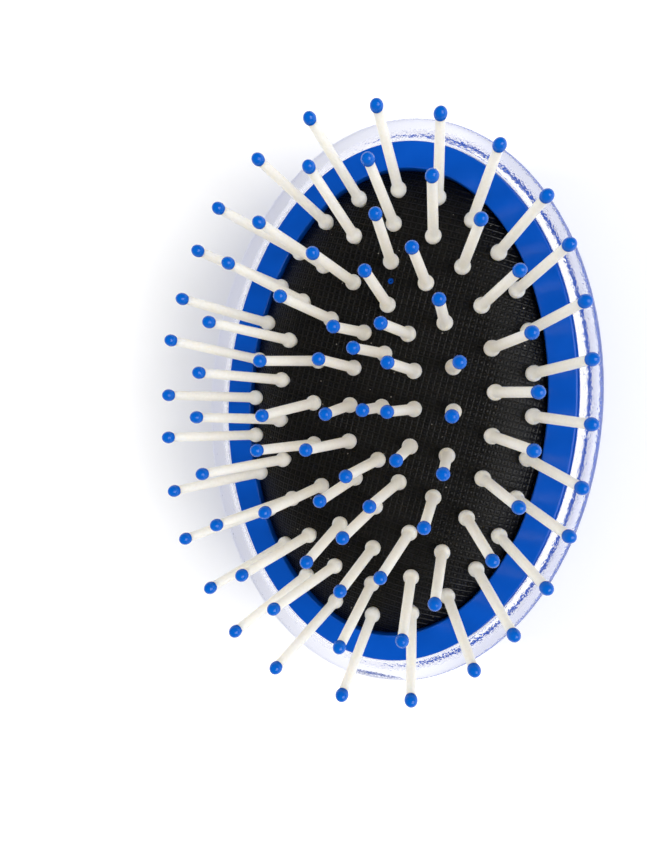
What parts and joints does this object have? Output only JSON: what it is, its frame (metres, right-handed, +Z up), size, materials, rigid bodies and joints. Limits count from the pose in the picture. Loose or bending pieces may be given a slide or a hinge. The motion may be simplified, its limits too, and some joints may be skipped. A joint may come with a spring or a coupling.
{
  "type": "palm pin brush",
  "caption": "Oval hair brush held in the palm: a clear domed shell, a blue frame and an air-cushioned rubber pad with leaning, ball-tipped pins.",
  "frame": {"origin": "middle of the shell's flat foot, on the surface that the brush rests on", "axes": "+Z up through the pins, +Y along the oval's long axis towards the end with the pad's vent, +X across"},
  "size_m": [0.0626, 0.088, 0.041],
  "materials": {
    "clear_plastic": "clear and glossy",
    "blue_plastic": "glossy",
    "black_rubber": "fine woven emboss, dull",
    "nylon": "satin off-white"
  },
  "bodies": {
    "palm_body": {"clear_shell": "clear_plastic", "pad_frame": "blue_plastic", "air_tray": "blue_plastic", "rubber_pad": "black_rubber"},
    "centre_pins": {"centre_pin_01": "nylon", "centre_pin_02": "nylon", "centre_pin_03": "nylon"},
    "fourth_pins": {"fourth_pin_01": "nylon", "fourth_pin_02": "nylon", "fourth_pin_03": "nylon", "fourth_pin_04": "nylon", "fourth_pin_05": "nylon", "fourth_pin_06": "nylon", "fourth_pin_07": "nylon", "fourth_pin_08": "nylon", "fourth_pin_09": "nylon", "fourth_pin_10": "nylon", "fourth_pin_11": "nylon", "fourth_pin_12": "nylon"},
    "third_pins": {"third_pin_01": "nylon", "third_pin_02": "nylon", "third_pin_03": "nylon", "third_pin_04": "nylon", "third_pin_05": "nylon", "third_pin_06": "nylon", "third_pin_07": "nylon", "third_pin_08": "nylon", "third_pin_09": "nylon", "third_pin_10": "nylon", "third_pin_11": "nylon", "third_pin_12": "nylon", "third_pin_13": "nylon", "third_pin_14": "nylon", "third_pin_15": "nylon", "third_pin_16": "nylon"},
    "second_pins": {"second_pin_pair_01": "nylon", "second_pin_pair_02": "nylon", "second_pin_pair_03": "nylon", "second_pin_pair_04": "nylon", "second_pin_pair_05": "nylon", "second_pin_pair_06": "nylon", "second_pin_pair_07": "nylon", "second_pin_pair_08": "nylon", "second_pin_pair_09": "nylon", "second_pin_pair_10": "nylon", "second_pin_pair_11": "nylon"},
    "outer_pins": {"outer_pin_pair_01": "nylon", "outer_pin_pair_02": "nylon", "outer_pin_pair_03": "nylon", "outer_pin_pair_04": "nylon", "outer_pin_pair_05": "nylon", "outer_pin_pair_06": "nylon", "outer_pin_pair_07": "nylon", "outer_pin_pair_08": "nylon", "outer_pin_pair_09": "nylon", "outer_pin_pair_10": "nylon", "outer_pin_pair_11": "nylon", "outer_pin_pair_12": "nylon", "outer_pin_pair_13": "nylon", "outer_pin_pair_14": "nylon"}
  },
  "joints": [
    {"name": "centre_press", "type": "slide", "parent": "palm_body", "child": "centre_pins", "axis": [0, 0, -1], "range_m": [0, 0.003], "stiffness_N_per_m": 150, "deforming": ["rubber_pad"]},
    {"name": "fourth_press", "type": "slide", "parent": "palm_body", "child": "fourth_pins", "axis": [0, 0, -1], "range_m": [0, 0.003], "stiffness_N_per_m": 450},
    {"name": "third_press", "type": "slide", "parent": "palm_body", "child": "third_pins", "axis": [0, 0, -1], "range_m": [0, 0.00291], "stiffness_N_per_m": 600},
    {"name": "second_press", "type": "slide", "parent": "palm_body", "child": "second_pins", "axis": [0, 0, -1], "range_m": [0, 0.00255], "stiffness_N_per_m": 800},
    {"name": "outer_press", "type": "slide", "parent": "palm_body", "child": "outer_pins", "axis": [0, 0, -1], "range_m": [0, 0.00129], "stiffness_N_per_m": 1000}
  ],
  "couplings": [
    {"joint": "fourth_press", "follows": "centre_press", "ratio": 1},
    {"joint": "third_press", "follows": "centre_press", "ratio": 0.97},
    {"joint": "second_press", "follows": "centre_press", "ratio": 0.85},
    {"joint": "outer_press", "follows": "centre_press", "ratio": 0.43}
  ]
}
